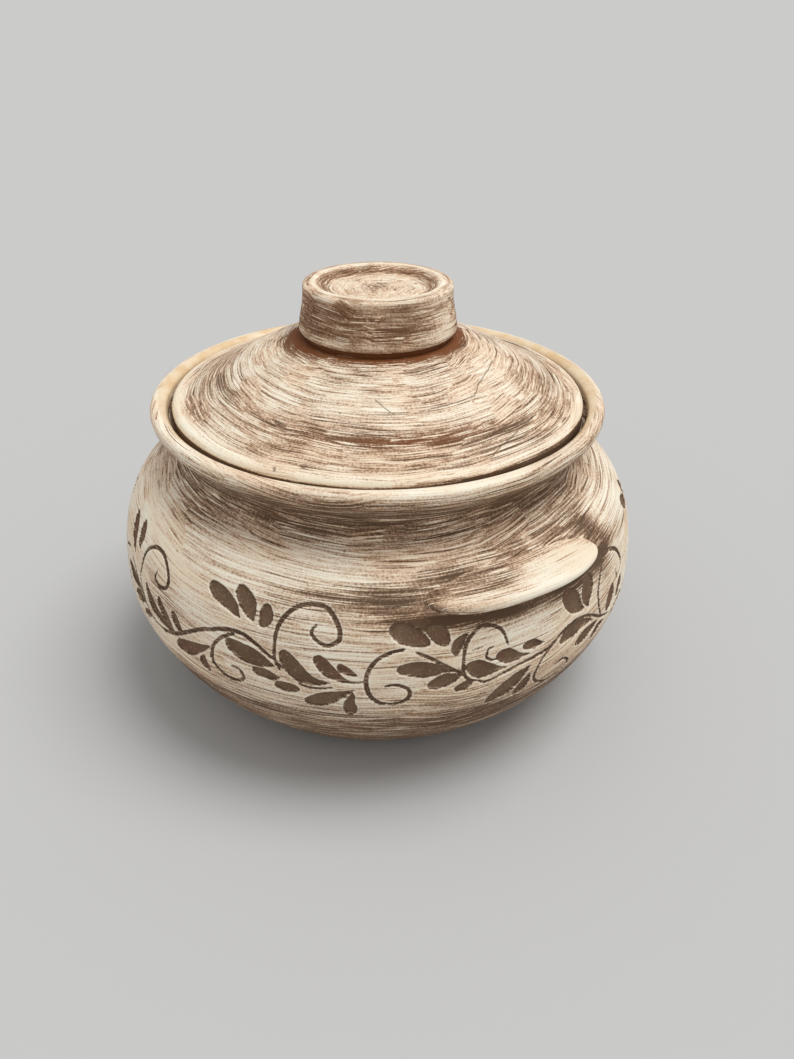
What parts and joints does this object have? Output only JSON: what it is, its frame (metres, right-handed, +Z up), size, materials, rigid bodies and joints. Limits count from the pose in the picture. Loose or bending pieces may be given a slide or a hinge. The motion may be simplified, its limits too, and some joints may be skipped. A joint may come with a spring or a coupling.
{
  "type": "lidded bowl",
  "caption": "Round-bellied earthenware bowl with a lift-off domed lid, ring knob, inner lid ledge, flared rim and two lugs.",
  "frame": {"origin": "centre of the flat resting face, on the bowl's axis", "axes": "+Z up along the bowl's axis, +X through the middle of handle_right, -X through handle_left"},
  "size_m": [0.2356, 0.2314, 0.1766],
  "materials": {
    "bowl_slip": "matt white slip brushed over brown clay and rubbed back, ochre glaze inside",
    "handle_slip": "matt cream slip with faint lengthwise brush lines",
    "lid_slip": "matt white slip brushed in circles over brown clay",
    "knob_slip": "matt white slip brushed round over brown clay"
  },
  "bodies": {
    "pot": {"bowl": "bowl_slip", "handle_right": "handle_slip", "handle_left": "handle_slip"},
    "cover": {"lid": "lid_slip", "lid_knob": "knob_slip"}
  },
  "joints": [
    {"name": "lid_lift", "type": "slide", "parent": "pot", "child": "cover", "axis": [0, 0, 1], "range_m": [0, 0.15]}
  ]
}
